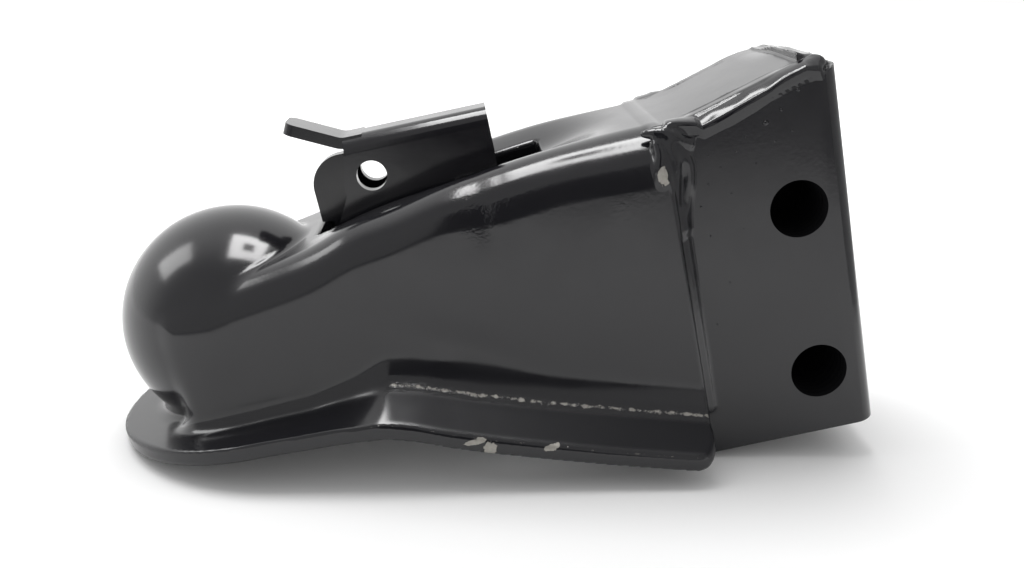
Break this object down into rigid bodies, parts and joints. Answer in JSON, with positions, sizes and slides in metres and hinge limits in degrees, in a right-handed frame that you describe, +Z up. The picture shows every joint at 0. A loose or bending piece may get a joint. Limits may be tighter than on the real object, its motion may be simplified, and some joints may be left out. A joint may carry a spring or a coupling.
{
  "type": "trailer coupling head",
  "caption": "Black pressed-steel ball coupler for a bolt-on trailer tongue, with a latch lever, trigger, ball clamp and a welded channel bracket.",
  "frame": {"origin": "centre of the hitch ball in its socket", "axes": "+X towards the trailer, +Y to the right of travel, +Z up, as the coupler sits on the ball in use"},
  "size_m": [0.2281, 0.099, 0.1212],
  "materials": {
    "black_enamel": "glossy black enamel with a slight orange peel over pressed steel and welds",
    "clamp_iron": "dark cast iron, greased",
    "plated_steel": "dull zinc plate"
  },
  "bodies": {
    "head": {"coupler_shell": "black_enamel", "channel_bracket": "black_enamel", "bolt_sleeve_upper": "black_enamel", "bolt_sleeve_lower": "black_enamel", "side_weld_left": "black_enamel", "side_weld_right": "black_enamel", "ramp_weld_left": "black_enamel", "ramp_weld_right": "black_enamel", "ramp_weld_rear": "black_enamel", "hinge_lug_left": "black_enamel", "hinge_lug_right": "black_enamel", "lever_pivot_pin": "black_enamel", "fulcrum_bar": "black_enamel"},
    "lever": {"latch_lever": "black_enamel", "stem_pin": "black_enamel", "trigger_pin": "black_enamel", "trigger_spring": "plated_steel"},
    "stem": {"clamp_stem": "plated_steel", "clamp_spring": "plated_steel", "spring_washer": "plated_steel", "seat_washer": "plated_steel", "adjusting_nut": "plated_steel"},
    "clamp": {"ball_clamp": "clamp_iron"},
    "trigger": {"trigger": "black_enamel"}
  },
  "joints": [
    {"name": "lever_lift", "type": "hinge", "parent": "head", "child": "lever", "pos_m": [0.066, 0, 0.019], "axis": [0, 1, 0], "range_deg": [0, 55]},
    {"name": "stem_swing", "type": "hinge", "parent": "lever", "child": "stem", "pos_m": [0.07709, 0, 0.02477], "axis": [0, 1, 0], "range_deg": [-70.84, 0]},
    {"name": "clamp_swing", "type": "hinge", "parent": "head", "child": "clamp", "pos_m": [0.108, 0, 0.006], "axis": [0, 1, 0], "range_deg": [-22.53, 0]},
    {"name": "trigger_squeeze", "type": "hinge", "parent": "lever", "child": "trigger", "pos_m": [0.0476, 0, 0.0418], "axis": [0, 1, 0], "range_deg": [-10, 6], "stiffness_Nm_per_rad": 0.3}
  ],
  "couplings": [
    {"joint": "stem_swing", "follows": "lever_lift", "ratio": -1.2862},
    {"joint": "clamp_swing", "follows": "lever_lift", "ratio": -0.40782}
  ]
}
